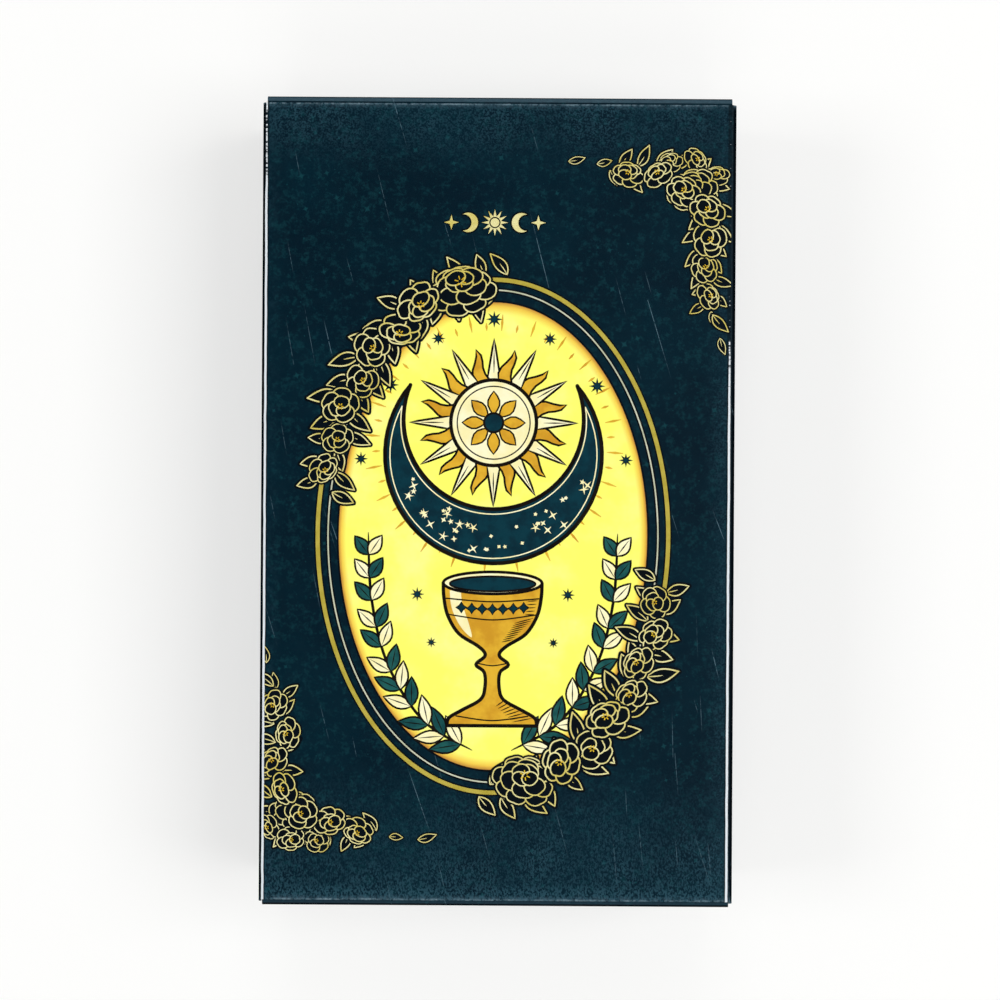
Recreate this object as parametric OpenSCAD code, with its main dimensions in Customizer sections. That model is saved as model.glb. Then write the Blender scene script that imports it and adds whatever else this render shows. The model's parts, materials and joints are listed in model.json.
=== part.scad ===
// Deck of tarot cards in a printed folding carton, lying on its back.
// Units are millimetres. X runs across the carton, Y along it towards the
// opening lid and Z up from the table. The origin is the middle of the
// rectangle that the carton covers on the table.

/* [Cards] */
// Width of a card
card_w = 70; // [55:0.5:90]
// Length of a card
card_l = 120; // [90:0.5:150]
// Thickness of a card
card_t = 0.32; // [0.25:0.01:0.45]
// Radius of a card's corners
card_corner_r = 3.5; // [1:0.5:6]
// Air between two cards in the stack
card_air = 0.01; // [0.005:0.005:0.03]

/* [Booklet] */
// How much narrower than a card the booklet is
booklet_narrower = 4; // [2:0.5:10]
// How much shorter than a card the booklet is
booklet_shorter = 6; // [2:0.5:12]
// Thickness of the booklet's cover
cover_t = 0.2; // [0.12:0.02:0.3]
// Thickness of one folded sheet of pages
sheet_t = 0.1; // [0.07:0.01:0.15]
// Number of folded sheets inside the cover
sheet_count = 6; // [3:1:8]
// Air between two sheets
sheet_air = 0.01; // [0.005:0.005:0.03]
// Diameter of the staple wire
staple_wire_d = 0.45; // [0.35:0.05:0.6]
// Length of a staple's crown, outside the spine
staple_crown_l = 12; // [9:0.5:16]
// Length of a staple's folded leg, in the centre spread
staple_clinch_l = 4; // [2:0.5:4]
// Distance between the middles of the two staples
staple_spacing = 58; // [40:1:66]
// Clearance round a staple's wire
staple_clearance = 0.03; // [0.02:0.01:0.06]

/* [Board] */
// Thickness of the carton board
board_t = 0.45; // [0.35:0.05:0.6]
// Inside radius of the four long folds
fold_in_r = 0.35; // [0.2:0.05:0.8]
// How far a crease's bead stands in from the board's inner face
crease_bulge = 0.15; // [0.1:0.05:0.3]
// Running gap between a crease's bead and the board that it turns in
crease_gap = 0.05; // [0.03:0.01:0.08]

/* [Room in the carton] */
// Free width beside the cards
side_play = 1.65; // [1.2:0.05:4]
// Free length past the ends of the cards
end_play = 2.7; // [2.5:0.1:6]
// Gap between the bottom closure's flaps and what lies in the carton
deck_rest_gap = 0.3; // [0.2:0.05:0.8]
// Height of the deck above the bottom tuck tab
deck_seat_gap = 0.4; // [0.3:0.05:1]
// Height of the top tuck tab above the deck
deck_head_gap = 0.8; // [0.5:0.05:2]

/* [Closures] */
// How far the cut edge at the mouth stands back from the lid's outer face
mouth_setback = 1.2; // [0.9:0.05:2]
// How much narrower the lid is than the carton, at each side
lid_side_gap = 0.6; // [0.5:0.05:1.5]
// Length of a tuck tab from its crease
tab_l = 12; // [9:0.5:18]
// Gap between a tuck tab and the panel that it slides behind
tab_gap = 0.7; // [0.6:0.05:1.2]
// How much narrower a tuck tab is than its lid, at each side
tab_side_relief = 0.9; // [0.6:0.1:3]
// Radius of a tuck tab's free corners
tab_corner_r = 8; // [3:0.5:9]
// How much narrower a tuck tab gets towards its tip, at each side
tab_taper = 0.8; // [0:0.1:2]
// Gap between a lid and the dust flaps under it
flap_lid_gap = 0.15; // [0.1:0.05:0.4]
// Gap between the two dust flaps of one end
flap_middle_gap = 16; // [12:0.5:30]
// Gap between a dust flap's crease and the creases of the lid
flap_end_gap = 0.3; // [0.25:0.05:1]
// Taper of a dust flap's edge beside the lid's hinge, in degrees
flap_hinge_taper = 20; // [14:1:26]
// Taper of a dust flap's edge beside the tuck tab, in degrees
flap_tab_taper = 12; // [6:1:18]
// Radius of a dust flap's free corners
flap_corner_r = 2; // [0.5:0.5:3]

/* [Seam] */
// Width of the glue flap
glue_flap_w = 12; // [8:0.5:15]
// How far the glue flap stops short of the side panel's ends
glue_flap_short = 3; // [2:0.5:8]
// Cut-back of the glue flap's free corners along its length
glue_flap_taper = 4; // [1:0.5:6]
// Height of the side panel's raw edge above the table
seam_edge_up = 0.15; // [0.1:0.05:0.3]

/* [Hidden] */
$fn = 64;

// How far a cut runs past what it cuts
overcut = 1;

TRUMPS = [
    "fool_card", "magician_card", "high_priestess_card", "empress_card", "emperor_card", "hierophant_card",
    "lovers_card", "chariot_card", "strength_card", "hermit_card", "wheel_of_fortune_card", "justice_card",
    "hanged_man_card", "death_card", "temperance_card", "devil_card", "tower_card", "star_card",
    "moon_card", "sun_card", "judgement_card", "world_card"
];
SUITS = ["wands", "cups", "swords", "pentacles"];
COURTS = ["page", "knight", "queen", "king"];
PIPS = 10;
SUIT_CARDS = PIPS + len(COURTS);
CARDS = len(TRUMPS) + len(SUITS) * SUIT_CARDS;

NAVY = [0.03, 0.13, 0.18];
INSIDE_GREY = [0.78, 0.77, 0.73];
CARD_WHITE = [0.95, 0.94, 0.90];
PAGE_WHITE = [0.93, 0.91, 0.85];
COVER_TEAL = [0.10, 0.25, 0.30];
WIRE = [0.70, 0.71, 0.73];

// The stack of cards with the booklet on top
card_pitch = card_t + card_air;
booklet_w = card_w - booklet_narrower;
booklet_l = card_l - booklet_shorter;
centre_gap = staple_wire_d + 2 * staple_clearance;
booklet_h = centre_gap + 2 * (sheet_count * (sheet_t + sheet_air) + cover_t);
deck_h = CARDS * card_pitch + booklet_h;

// The board's bends
fold_r = fold_in_r + board_t;
crease_r = board_t + crease_bulge;
groove_r = crease_r + crease_gap;

// The carton's outside, worked out from what it holds: two walls and the glue flap stand beside the cards
tab_depth = board_t + tab_gap + board_t;
end_depth = board_t + flap_lid_gap + board_t;
box_w = card_w + side_play + 3 * board_t;
box_l = card_l + end_play + 2 * end_depth;
box_d = 2 * tab_depth + deck_seat_gap + deck_h + deck_head_gap;
wall_x = box_w / 2;
end_y = box_l / 2;

// Crease axes: of a lid, of its tuck tab and of its dust flaps
lid_axis_y = end_y - crease_r;
lid_axis_z = crease_r;
tab_axis_z = box_d - board_t - tab_gap - crease_r;
flap_axis_x = wall_x - crease_r;
flap_axis_y = end_y - board_t - flap_lid_gap - crease_r;
mouth_y = end_y - mouth_setback;

// The closures' own sizes
lid_w = box_w - 2 * lid_side_gap;
tab_w = lid_w - 2 * tab_side_relief;
flap_l = flap_axis_x - flap_middle_gap / 2;
flap_low_z = lid_axis_z + crease_r + flap_end_gap;
flap_high_z = tab_axis_z - crease_r - flap_end_gap;

// Where the cards and the booklet lie
rest_y = -end_y + end_depth + deck_rest_gap;
deck_y = rest_y + card_l / 2;
deck_z = tab_depth + deck_seat_gap;
booklet_y = rest_y + booklet_l / 2;
booklet_z = deck_z + CARDS * card_pitch + booklet_h / 2;
deck_travel = end_play - 2 * deck_rest_gap;
booklet_travel = deck_travel + booklet_shorter;

echo(box_w=box_w, box_l=box_l, box_d=box_d);
echo(lid_axis=[lid_axis_y, lid_axis_z], tab_axis_z=tab_axis_z, flap_axis=[flap_axis_x, flap_axis_y]);
echo(deck_travel=deck_travel, booklet_travel=booklet_travel);

// A convex outline with true arcs: corners run anticlockwise, each with its radius, or 0 for a sharp one
function unit(v) = v / norm(v);
function arc_centre(before, corner, after, r) =
    let (a = unit(before - corner), b = unit(after - corner))
    corner + unit(a + b) * r / sqrt((1 - a * b) / 2);
function foot(p, q, c) = p + unit(q - p) * ((c - p) * unit(q - p));
module rounded_outline(corners, radii) {
    n = len(corners);
    centres = [for (i = [0:n - 1])
        arc_centre(corners[(i + n - 1) % n], corners[i], corners[(i + 1) % n], radii[i])];
    polygon([for (i = [0:n - 1]) each radii[i] > 0
        ? [for (side = [-1, 1]) foot(corners[i], corners[(i + n + side) % n], centres[i])]
        : [corners[i]]]);
    for (i = [0:n - 1])
        if (radii[i] > 0) translate(centres[i]) circle(radii[i]);
}

module rounded_rectangle(w, l, r) {
    rounded_outline([[-w / 2, -l / 2], [w / 2, -l / 2], [w / 2, l / 2], [-w / 2, l / 2]], [r, r, r, r]);
}

// Sweeps an outline drawn in X and Z along Y
module along_y(low, high) {
    translate([0, high, 0]) rotate([90, 0, 0]) linear_extrude(high - low) children();
}

module rod_x(r, l) {
    rotate([0, 90, 0]) cylinder(h=l, r=r, center=true);
}

// Board with the bead of its crease at the origin: the board runs to the left, its outer face flush with the bead
module creased_section(l) {
    circle(crease_r);
    translate([-l, crease_bulge]) square([l, board_t]);
}

// A quarter of a board bend, turning from level at the top to upright at the right
module bend_section() {
    intersection() {
        difference() {
            circle(fold_r);
            circle(fold_in_r);
        }
        square(fold_r);
    }
}

// The other end of the carton: the same closure, turned half round the X axis
module at_bottom_end() {
    translate([0, 0, box_d / 2]) rotate([180, 0, 0]) translate([0, 0, -box_d / 2]) children();
}

// Sleeve of the carton
module front_panel() {
    flat_w = box_w - 2 * fold_r;
    color(NAVY) difference() {
        along_y(-lid_axis_y, mouth_y) translate([0, box_d - fold_r]) {
            translate([-flat_w / 2, fold_in_r]) square([flat_w, board_t]);
            translate([flat_w / 2, 0]) bend_section();
            translate([-flat_w / 2, 0]) mirror([1, 0]) bend_section();
        }
        translate([0, -lid_axis_y, box_d - lid_axis_z]) rod_x(groove_r, lid_w + 2 * crease_gap);
    }
}

module back_panel() {
    left_x = -wall_x + board_t + fold_r;
    right_x = wall_x - fold_r;
    color(NAVY) difference() {
        along_y(-mouth_y, lid_axis_y) {
            translate([left_x, 0]) square([right_x - left_x, board_t]);
            translate([right_x, fold_r]) mirror([0, 1]) bend_section();
            translate([left_x, fold_r]) mirror([0, 1]) mirror([1, 0]) bend_section();
        }
        translate([0, lid_axis_y, lid_axis_z]) rod_x(groove_r, box_w + overcut);
    }
}

module side_panel(low_z) {
    color(NAVY) difference() {
        translate([wall_x - board_t, -flap_axis_y, low_z])
            cube([board_t, 2 * flap_axis_y, box_d - fold_r - low_z]);
        for (y = [-flap_axis_y, flap_axis_y])
            translate([flap_axis_x, y, -overcut]) cylinder(h=box_d + 2 * overcut, r=groove_r);
    }
}

module right_side_panel() {
    side_panel(fold_r);
}

module left_side_panel() {
    mirror([1, 0, 0]) side_panel(seam_edge_up);
}

module glue_flap() {
    half_l = flap_axis_y - crease_r - glue_flap_short;
    outline = [
        [-half_l, fold_r], [half_l, fold_r],
        [half_l - glue_flap_taper, glue_flap_w], [-half_l + glue_flap_taper, glue_flap_w]
    ];
    color(INSIDE_GREY) translate([-wall_x + board_t, 0, 0])
        rotate([90, 0, 90]) linear_extrude(board_t) polygon(outline);
}

// Closures, drawn at the top end
module lid() {
    color(NAVY) difference() {
        translate([-lid_w / 2, lid_axis_y, lid_axis_z]) rotate([90, 0, 90])
            linear_extrude(lid_w) rotate(-90) creased_section(tab_axis_z - lid_axis_z);
        translate([0, lid_axis_y, tab_axis_z]) rod_x(groove_r, lid_w + overcut);
    }
}

module tuck_tab() {
    root = tab_w / 2;
    tip = root - tab_taper;
    color(NAVY) translate([0, lid_axis_y, tab_axis_z]) intersection() {
        translate([-lid_w / 2, 0, 0]) rotate([90, 0, 90])
            linear_extrude(lid_w) creased_section(tab_l);
        translate([0, 0, -crease_r]) linear_extrude(2 * crease_r) {
            rounded_outline(
                [[-tip, -tab_l], [tip, -tab_l], [root, 0], [-root, 0]],
                [tab_corner_r, tab_corner_r, 0, 0]
            );
            translate([-lid_w / 2, -crease_r]) square([lid_w, 2 * crease_r]);
        }
    }
}

module dust_flap() {
    outline = [
        [-flap_l, flap_low_z + flap_l * tan(flap_hinge_taper)],
        [crease_r, flap_low_z],
        [crease_r, flap_high_z],
        [-flap_l, flap_high_z - flap_l * tan(flap_tab_taper)]
    ];
    color(NAVY) translate([flap_axis_x, flap_axis_y, 0]) intersection() {
        translate([0, 0, flap_low_z])
            linear_extrude(flap_high_z - flap_low_z) creased_section(flap_l);
        translate([0, crease_r, 0]) rotate([90, 0, 0]) linear_extrude(2 * crease_r)
            rounded_outline(outline, [flap_corner_r, 0, 0, flap_corner_r]);
    }
}

module left_dust_flap() {
    mirror([1, 0, 0]) dust_flap();
}

// Cards of the deck, counted from the bottom of the stack
module card(place) {
    color(CARD_WHITE) translate([0, deck_y, deck_z + place * card_pitch])
        linear_extrude(card_t) rounded_rectangle(card_w, card_l, card_corner_r);
}

module pip_cards(suit) {
    for (pip = [0:PIPS - 1])
        card(len(TRUMPS) + suit * SUIT_CARDS + pip);
}

module court_card(suit, court) {
    card(len(TRUMPS) + suit * SUIT_CARDS + PIPS + court);
}

// Booklet: folded sheets nested in a cover, stapled through the spine
module folded_sheet(outer_r, t) {
    leg = booklet_w - booklet_h / 2;
    difference() {
        translate([-booklet_w / 2 + booklet_h / 2, booklet_y + booklet_l / 2, booklet_z])
            rotate([90, 0, 0]) linear_extrude(booklet_l) difference() {
                union() {
                    circle(outer_r);
                    translate([0, -outer_r]) square([leg, 2 * outer_r]);
                }
                circle(outer_r - t);
                translate([0, -outer_r + t]) square([leg + overcut, 2 * (outer_r - t)]);
            }
        staple_places() for (side = [-1, 1])
            translate([0, side * staple_crown_l / 2, 0])
                rotate([0, 90, 0]) cylinder(h=booklet_h, r=staple_wire_d / 2 + staple_clearance);
    }
}

// Puts the staple's origin on the spine's outer face
module staple_places() {
    for (end = [-1, 1])
        translate([-booklet_w / 2, booklet_y + end * staple_spacing / 2, booklet_z]) children();
}

module booklet_cover() {
    color(COVER_TEAL) folded_sheet(booklet_h / 2, cover_t);
}

module booklet_pages() {
    for (i = [0:sheet_count - 1])
        color(PAGE_WHITE)
            folded_sheet(booklet_h / 2 - cover_t - sheet_air - i * (sheet_t + sheet_air), sheet_t);
}

module staple() {
    r = staple_wire_d / 2;
    crown_x = -r - staple_clearance;
    clinch_x = booklet_h / 2 - centre_gap / 2 + r + staple_clearance;
    translate([crown_x, 0, 0]) rotate([90, 0, 0]) cylinder(h=staple_crown_l, r=r, center=true);
    for (side = [-1, 1]) translate([0, side * staple_crown_l / 2, 0]) {
        translate([crown_x, 0, 0]) {
            sphere(r);
            rotate([0, 90, 0]) cylinder(h=clinch_x - crown_x, r=r);
        }
        translate([clinch_x, 0, 0]) {
            sphere(r);
            rotate([side * 90, 0, 0]) cylinder(h=staple_clinch_l, r=r);
        }
    }
}

module booklet_staples() {
    color(WIRE) staple_places() staple();
}

front_panel();
back_panel();
left_side_panel();
right_side_panel();
glue_flap();
lid();  // top_lid
tuck_tab();  // top_tuck_tab
left_dust_flap();  // top_left_dust_flap
dust_flap();  // top_right_dust_flap
at_bottom_end() lid();  // bottom_lid
at_bottom_end() tuck_tab();  // bottom_tuck_tab
at_bottom_end() left_dust_flap();  // bottom_left_dust_flap
at_bottom_end() dust_flap();  // bottom_right_dust_flap
booklet_cover();
booklet_pages();
booklet_staples();
for (i = [0:len(TRUMPS) - 1])
    card(i);
for (s = [0:len(SUITS) - 1])
    pip_cards(s);
for (s = [0:len(SUITS) - 1], c = [0:len(COURTS) - 1])
    court_card(s, c);
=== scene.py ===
"""A tarot deck in its tuck box: the printed front, the finish of every piece, and the studio round it."""

import json
import math
import random

import bmesh
import bpy
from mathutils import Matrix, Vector, geometry

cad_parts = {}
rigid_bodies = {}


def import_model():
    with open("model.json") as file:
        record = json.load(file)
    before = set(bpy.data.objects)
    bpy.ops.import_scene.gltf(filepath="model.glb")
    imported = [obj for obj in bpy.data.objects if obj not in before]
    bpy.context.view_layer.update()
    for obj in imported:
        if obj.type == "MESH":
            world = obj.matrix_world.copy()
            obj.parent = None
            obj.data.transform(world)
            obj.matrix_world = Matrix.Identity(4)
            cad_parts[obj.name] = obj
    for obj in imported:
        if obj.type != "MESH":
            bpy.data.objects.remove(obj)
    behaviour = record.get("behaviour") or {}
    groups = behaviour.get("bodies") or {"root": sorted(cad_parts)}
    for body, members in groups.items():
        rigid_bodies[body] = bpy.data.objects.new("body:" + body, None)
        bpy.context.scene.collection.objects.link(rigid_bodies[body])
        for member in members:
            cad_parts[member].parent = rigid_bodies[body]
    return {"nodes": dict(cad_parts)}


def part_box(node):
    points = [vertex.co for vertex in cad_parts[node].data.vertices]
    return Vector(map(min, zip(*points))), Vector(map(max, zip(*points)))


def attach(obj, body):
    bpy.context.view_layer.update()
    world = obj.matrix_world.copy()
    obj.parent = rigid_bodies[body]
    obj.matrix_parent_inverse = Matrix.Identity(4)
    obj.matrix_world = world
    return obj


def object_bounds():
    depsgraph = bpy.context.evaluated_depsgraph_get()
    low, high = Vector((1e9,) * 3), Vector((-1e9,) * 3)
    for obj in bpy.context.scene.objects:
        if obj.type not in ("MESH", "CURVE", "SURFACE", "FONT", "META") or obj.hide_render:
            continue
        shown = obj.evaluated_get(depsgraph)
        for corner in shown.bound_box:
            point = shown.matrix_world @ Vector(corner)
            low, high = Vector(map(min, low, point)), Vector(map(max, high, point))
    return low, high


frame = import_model()
cad_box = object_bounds()

MM = 0.001
TURN = 2 * math.pi

# Places on the front panel, in millimetres from the middle of the box
PANEL_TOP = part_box("front_panel")[1][2] / MM
BOX_HALF = (cad_box[1][0] / MM, cad_box[1][1] / MM, PANEL_TOP / 2)
FOLD_LINE = 35.7
ART_X = -0.68
ART_Y = 0.1
OVAL_Y = -5.4
ORNAMENT_Y = 42.9
FIELD_SIZE = (23.75, 36.0)
CREAM_LINE_SIZE = (25.4, 37.9)
GOLD_RING_SIZE = (27.0, 39.5)

# Heights of the print layers above the board, in millimetres
INK_BASE = 0.002
INK_FILM = 0.010
LEAF_HEIGHT = 0.014
FLOWER_HEIGHT = 0.030


def rgb(red, green, blue):
    """A colour from its screen values, as the linear values that a shader takes."""
    linear = []
    for value in (red, green, blue):
        share = value / 255
        linear.append(share / 12.92 if share <= 0.04045 else ((share + 0.055) / 1.055) ** 2.4)
    return (*linear, 1.0)


NAVY = rgb(3, 31, 43)
DEEP_NAVY = rgb(3, 25, 37)
TEAL_SPECK = rgb(17, 62, 70)
# Rubbed ink, also used for painted sheen on the tab's strip and along the bottom crease
RUB_AND_SHEEN_INK = rgb(72, 98, 112)
# Hazy wear, also used for painted sheen towards the bottom of the front
HAZE_AND_SHEEN_INK = rgb(44, 80, 94)
WHITE_CORE = rgb(242, 241, 236)
FOLD_WHITE = rgb(224, 231, 236)
GREY_BOARD = rgb(205, 201, 190)
# Near-black navy: painted shade on bends and along creases, and the dark ink of the petal fills
SHADE_AND_DARK_INK = rgb(4, 10, 15)
PRINT_GLOSS = 0.04
# Lighter lips of the front's top and bottom edges: wear, and painted sheen at the bottom
LIP_RUB_AND_SHEEN = rgb(118, 142, 154)
SCRATCH = rgb(118, 152, 168)
CARD_NAVY = rgb(9, 45, 58)

# Wear on the front panel, and painted sheen towards its bottom: where a rub starts and where it is full, in
# metres
TOP_LIP = (0.06090, 0.06104)
BOTTOM_LIP = (-0.06122, -0.06134)
TOP_RUB = (0.0602, 0.0611)
BOTTOM_RUB_AND_SHEEN = (-0.0606, -0.0613)
TOP_HAZE = (0.049, 0.0620)
BOTTOM_SHEEN_HAZE = (-0.038, -0.062)
LOWEST_SHEEN_HAZE = (-0.0575, -0.0606)
SIDE_HAZE = (0.0330, 0.0356)
RIGHT_HAZE = (0.0310, 0.0356)
LEFT_FOLD_WEAR = (0.052, 0.044)
RIGHT_FOLD_WEAR = (0.034, 0.004)
WORN_FOLD = 0.03573


# Shader nodes

class Field:
    """A node's output; arithmetic with it adds math nodes to its tree."""

    def __init__(self, socket):
        self.socket = socket
        self.tree = socket.id_data

    def __add__(self, other):
        return calc("ADD", self, other)

    def __radd__(self, other):
        return calc("ADD", other, self)

    def __sub__(self, other):
        return calc("SUBTRACT", self, other)

    def __rsub__(self, other):
        return calc("SUBTRACT", other, self)

    def __mul__(self, other):
        return calc("MULTIPLY", self, other)

    def __truediv__(self, other):
        return calc("DIVIDE", self, other)

    def __gt__(self, other):
        return calc("GREATER_THAN", self, other)

    def __lt__(self, other):
        return calc("LESS_THAN", self, other)

    def __abs__(self):
        return calc("ABSOLUTE", self)


def plug(value, socket):
    if isinstance(value, Field):
        value.tree.links.new(value.socket, socket)
    else:
        socket.default_value = value


def put(tree, kind, settings=None, **sockets):
    """Adds a node; an underscore in a socket's name stands for a space."""
    made = tree.nodes.new(kind)
    for name, value in (settings or {}).items():
        setattr(made, name, value)
    for name, value in sockets.items():
        plug(value, made.inputs[name.replace("_", " ")])
    return made


def out(node, name=0):
    return Field(node.outputs[name])


def calc(operation, *values, clamp=False):
    tree = next(value.tree for value in values if isinstance(value, Field))
    made = put(tree, "ShaderNodeMath", {"operation": operation, "use_clamp": clamp})
    for socket, value in zip(made.inputs, values):
        plug(value, socket)
    return out(made)


def vector_calc(operation, first, second):
    made = put(first.tree, "ShaderNodeVectorMath", {"operation": operation})
    plug(first, made.inputs[0])
    plug(second, made.inputs[1])
    return out(made, "Value" if operation == "DOT_PRODUCT" else "Vector")


def mix(share, first, second):
    made = put(share.tree, "ShaderNodeMix", {"data_type": "RGBA"})
    for index, value in ((0, share), (6, first), (7, second)):
        plug(value, made.inputs[index])
    return out(made, 2)


def ramp(value, start, end, low=0.0, high=1.0):
    """Goes smoothly from low to high while the value goes from start to end."""
    made = put(value.tree, "ShaderNodeMapRange", {"interpolation_type": "SMOOTHSTEP"}, Value=value,
               From_Min=start, From_Max=end, To_Min=low, To_Max=high)
    return out(made)


def noise(place, scale, detail=3.0, roughness=0.55):
    return out(put(place.tree, "ShaderNodeTexNoise", Vector=place, Scale=scale, Detail=detail,
                   Roughness=roughness))


def mapped(place, turn=0.0, scale=(1.0, 1.0, 1.0), shift=(0.0, 0.0, 0.0)):
    """Turns the pattern, then scales it along its own axes."""
    return out(put(place.tree, "ShaderNodeMapping", {"vector_type": "TEXTURE"}, Vector=place,
                   Rotation=(0.0, 0.0, turn), Scale=tuple(1 / value for value in scale), Location=shift))


def any_of(*masks):
    """The strongest of the masks."""
    total = masks[0]
    for mask in masks[1:]:
        total = calc("MAXIMUM", total, mask)
    return total


def axes(vector):
    parts = put(vector.tree, "ShaderNodeSeparateXYZ", Vector=vector)
    return [out(parts, index) for index in range(3)]


def channels(colour):
    parts = put(colour.tree, "ShaderNodeSeparateColor", Color=colour)
    return [out(parts, index) for index in range(3)]


def by_layer(z, pitch):
    """A chance value for each layer of a stack."""
    layer = calc("FLOOR", z / pitch)
    return out(put(z.tree, "ShaderNodeTexWhiteNoise", {"noise_dimensions": "1D"}, W=layer), "Value")


def film_grain(place):
    """The fine relief of the laminate and the roughness that goes with it."""
    grain = noise(place, 900.0, 4.0, 0.65)
    return grain, ramp(grain, 0.3, 0.7, 0.33, 0.42)


def empty_tree(owner):
    owner.use_nodes = True
    owner.node_tree.nodes.clear()
    return owner.node_tree


def start_material(name):
    """A new material with the place and the direction of each spot on it."""
    material = bpy.data.materials.new(name)
    coordinates = put(empty_tree(material), "ShaderNodeTexCoord")
    return material, out(coordinates, "Object"), out(coordinates, "Normal")


def surface(colour, roughness, gloss, height, metallic=0.0, depth=0.00002, strength=0.3):
    tree = colour.tree
    bump = put(tree, "ShaderNodeBump", Height=height, Distance=depth, Strength=strength)
    shader = put(tree, "ShaderNodeBsdfPrincipled", Base_Color=colour, Roughness=roughness,
                 Metallic=metallic, Specular_IOR_Level=gloss, Normal=out(bump))
    put(tree, "ShaderNodeOutputMaterial", Surface=out(shader))


# Finishes

# Cards and pages, in metres
CARD_PITCH = 0.00033
PAGE_PITCH = 0.00012
CARD_HALF = (0.035, 0.060)
DECK_SHIFT = 0.00105

# How deep the outer skin of the box goes, in millimetres
OUTER_SKIN = 0.7


def flattened(place, normal):
    """Coordinates that lie in whichever face of the box a spot is on."""
    x, y, z = axes(place)
    normal_x, normal_y, _ = axes(normal)
    on_side = abs(normal_x) > 0.7
    on_end = abs(normal_y) > 0.7
    return out(put(place.tree, "ShaderNodeCombineXYZ", X=x * (1.0 - on_side) + z * on_side,
                   Y=y * (1.0 - on_end) + z * on_end))


def star_specks(flat):
    """Small four-pointed stars and dots."""
    stars = []
    for turn, scale, size in ((0.3, 210.0, 0.19), (0.95, 160.0, 0.16), (1.3, 420.0, 0.12)):
        cells = put(flat.tree, "ShaderNodeTexVoronoi",
                    {"voronoi_dimensions": "2D", "distance": "MINKOWSKI"},
                    Vector=mapped(flat, turn), Scale=scale, Exponent=0.6)
        kind = channels(out(cells, "Color"))
        reach = kind[0] * size
        shape = ramp(out(cells, "Distance"), reach, reach * 0.35)
        stars.append(shape * ramp(kind[1], 0.35, 0.75))
    return any_of(*stars)


def hair_scratches(flat, turn, spacing, length, share, shift):
    """Straight hairline scratches: a share of the cells holds one each, and it fades towards both ends."""
    spread = mapped(flat, turn, (1 / (spacing * MM), 1 / (length * MM), 1.0), (shift, shift, 0.0))
    cells = put(flat.tree, "ShaderNodeTexVoronoi", {"voronoi_dimensions": "2D"}, Vector=spread, Scale=1.0)
    kind = channels(out(cells, "Color"))
    across, along, _ = axes(vector_calc("SUBTRACT", spread, out(cells, "Position")))
    lean = (kind[1] - 0.5) * 0.45
    line = ramp(abs(across + along * lean), 0.075 / spacing, 0.01 / spacing)
    reach = 0.1 + kind[2] * 0.35
    return line * ramp(abs(along), reach, 0.02) * (kind[0] < share)


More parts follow.
